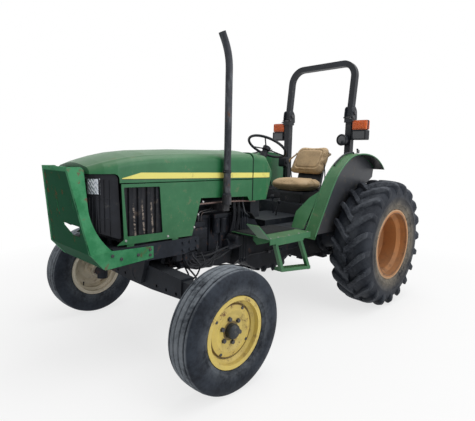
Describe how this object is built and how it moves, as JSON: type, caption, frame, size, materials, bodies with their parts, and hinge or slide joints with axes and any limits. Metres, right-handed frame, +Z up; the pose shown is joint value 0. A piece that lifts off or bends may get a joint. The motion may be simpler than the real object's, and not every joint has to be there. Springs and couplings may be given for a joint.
{
  "type": "farm tractor",
  "caption": "Open-station two-wheel-drive farm tractor with hood, front brush guard, folding roll bar, seat, steered front wheels, rear linkage, drawbar and power take-off.",
  "frame": {"origin": "on the ground under the middle of the tractor's length and width", "axes": "+X forward, +Y to the driver's left, +Z up"},
  "size_m": [3.743, 1.971, 2.4],
  "materials": {
    "green_paint": "satin",
    "black_paint": "satin",
    "cast_black": "rough",
    "yellow_wheel": "worn",
    "orange_wheel": "worn",
    "tyre_rubber": "dusty",
    "tan_vinyl": "matte",
    "black_plastic": "matte",
    "amber_lens": "gloss",
    "lamp_glass": "gloss",
    "exhaust_steel": "heat-stained",
    "bare_steel": "worn"
  },
  "bodies": {
    "chassis": {"front_axle": "cast_black", "steering_cylinder": "black_paint", "front_frame": "cast_black", "engine": "cast_black", "transmission": "cast_black", "rear_axle": "cast_black", "link_lugs": "cast_black", "radiator": "cast_black", "drawbar": "cast_black", "louvre_panels": "black_plastic", "grille": "black_plastic", "headlights": "lamp_glass", "front_guard": "green_paint", "cowl": "green_paint", "instrument_panel": "black_plastic", "firewall": "black_plastic", "steering_column": "black_plastic", "exhaust_pipe": "exhaust_steel", "seat_deck": "black_paint", "seat_base": "black_paint", "seat_cushion": "tan_vinyl", "seat_backrest": "tan_vinyl", "rops_legs": "black_paint", "amber_lamps": "amber_lens", "work_lamps": "black_plastic", "lamp_brackets": "black_paint", "round_lamp": "black_plastic", "top_link_bracket": "cast_black", "left_side_panel": "green_paint", "left_platform": "green_paint", "left_fender": "green_paint", "right_side_panel": "green_paint", "right_platform": "green_paint", "right_fender": "green_paint"},
    "hood": {"hood": "green_paint"},
    "steering_wheel": {"steering_wheel": "black_plastic"},
    "tie_rod": {"tie_rod": "black_paint"},
    "steering_rod": {"steering_rod": "bare_steel"},
    "rops_hoop": {"rops_hoop": "black_paint"},
    "lift_arms": {"lift_arms": "cast_black"},
    "pto_shaft": {"pto_shaft": "bare_steel"},
    "left_knuckle": {"left_knuckle": "cast_black"},
    "left_lift_rod": {"left_lift_rod": "black_paint"},
    "left_lower_link": {"left_lower_link": "black_paint"},
    "front_left_wheel": {"front_left_rim": "yellow_wheel", "front_left_tyre": "tyre_rubber"},
    "rear_left_wheel": {"rear_left_rim": "orange_wheel", "rear_left_tyre": "tyre_rubber"},
    "right_knuckle": {"right_knuckle": "cast_black"},
    "right_lift_rod": {"right_lift_rod": "black_paint"},
    "right_lower_link": {"right_lower_link": "black_paint"},
    "front_right_wheel": {"front_right_rim": "yellow_wheel", "front_right_tyre": "tyre_rubber"},
    "rear_right_wheel": {"rear_right_rim": "orange_wheel", "rear_right_tyre": "tyre_rubber"}
  },
  "joints": [
    {"name": "hood_hinge", "type": "hinge", "parent": "chassis", "child": "hood", "pos_m": [0.3975, 0, 1.455], "axis": [0, -1, 0], "range_deg": [0, 55]},
    {"name": "steering_wheel_turn", "type": "hinge", "parent": "chassis", "child": "steering_wheel", "pos_m": [-0.0925, 0, 1.477], "axis": [-0.515, 0, 0.8572], "range_deg": [-648, 648]},
    {"name": "left_steer", "type": "hinge", "parent": "chassis", "child": "left_knuckle", "pos_m": [1.2165, 0.7, 0.5], "axis": [0, 0, 1], "range_deg": [-45, 45]},
    {"name": "right_steer", "type": "hinge", "parent": "chassis", "child": "right_knuckle", "pos_m": [1.2165, -0.7, 0.5], "axis": [0, 0, 1], "range_deg": [-45, 45]},
    {"name": "tie_rod_swing", "type": "hinge", "parent": "left_knuckle", "child": "tie_rod", "pos_m": [1.0665, 0.7, 0.392], "axis": [0, 0, 1], "range_deg": [-45, 45]},
    {"name": "steering_rod_slide", "type": "slide", "parent": "chassis", "child": "steering_rod", "axis": [0, 1, 0], "range_m": [-0.07, 0.07]},
    {"name": "rops_fold", "type": "hinge", "parent": "chassis", "child": "rops_hoop", "pos_m": [-0.9175, 0, 1.868], "axis": [0, -1, 0], "range_deg": [0, 110]},
    {"name": "lift", "type": "hinge", "parent": "chassis", "child": "lift_arms", "pos_m": [-1.0695, 0, 0.88], "axis": [0, 1, 0], "range_deg": [-15, 32]},
    {"name": "pto_spin", "type": "hinge", "parent": "chassis", "child": "pto_shaft", "pos_m": [-1.2415, 0, 0.56], "axis": [-1, 0, 0], "continuous": true},
    {"name": "left_lift_rod_swing", "type": "hinge", "parent": "lift_arms", "child": "left_lift_rod", "pos_m": [-1.4095, 0.25, 0.88], "axis": [0, 1, 0], "range_deg": [-32, 15]},
    {"name": "left_lower_link_swing", "type": "hinge", "parent": "chassis", "child": "left_lower_link", "pos_m": [-1.0095, 0.215, 0.4], "axis": [0, 1, 0], "range_deg": [-15, 32]},
    {"name": "front_left_spin", "type": "hinge", "parent": "left_knuckle", "child": "front_left_wheel", "pos_m": [1.2165, 0.8875, 0.383], "axis": [0, 1, 0], "continuous": true},
    {"name": "rear_left_spin", "type": "hinge", "parent": "chassis", "child": "rear_left_wheel", "pos_m": [-0.9495, 0.745, 0.608], "axis": [0, 1, 0], "continuous": true},
    {"name": "right_lift_rod_swing", "type": "hinge", "parent": "lift_arms", "child": "right_lift_rod", "pos_m": [-1.4095, -0.25, 0.88], "axis": [0, 1, 0], "range_deg": [-32, 15]},
    {"name": "right_lower_link_swing", "type": "hinge", "parent": "chassis", "child": "right_lower_link", "pos_m": [-1.0095, -0.215, 0.4], "axis": [0, 1, 0], "range_deg": [-15, 32]},
    {"name": "front_right_spin", "type": "hinge", "parent": "right_knuckle", "child": "front_right_wheel", "pos_m": [1.2165, -0.8875, 0.383], "axis": [0, 1, 0], "continuous": true},
    {"name": "rear_right_spin", "type": "hinge", "parent": "chassis", "child": "rear_right_wheel", "pos_m": [-0.9495, -0.745, 0.608], "axis": [0, 1, 0], "continuous": true}
  ],
  "couplings": [
    {"joint": "right_steer", "follows": "left_steer", "ratio": 1},
    {"joint": "tie_rod_swing", "follows": "left_steer", "ratio": -1},
    {"joint": "steering_rod_slide", "follows": "left_steer", "m_per_rad": -0.0828},
    {"joint": "steering_wheel_turn", "follows": "left_steer", "ratio": 14.4},
    {"joint": "left_lift_rod_swing", "follows": "lift", "ratio": -1},
    {"joint": "left_lower_link_swing", "follows": "lift", "ratio": 1},
    {"joint": "right_lift_rod_swing", "follows": "lift", "ratio": -1},
    {"joint": "right_lower_link_swing", "follows": "lift", "ratio": 1}
  ]
}
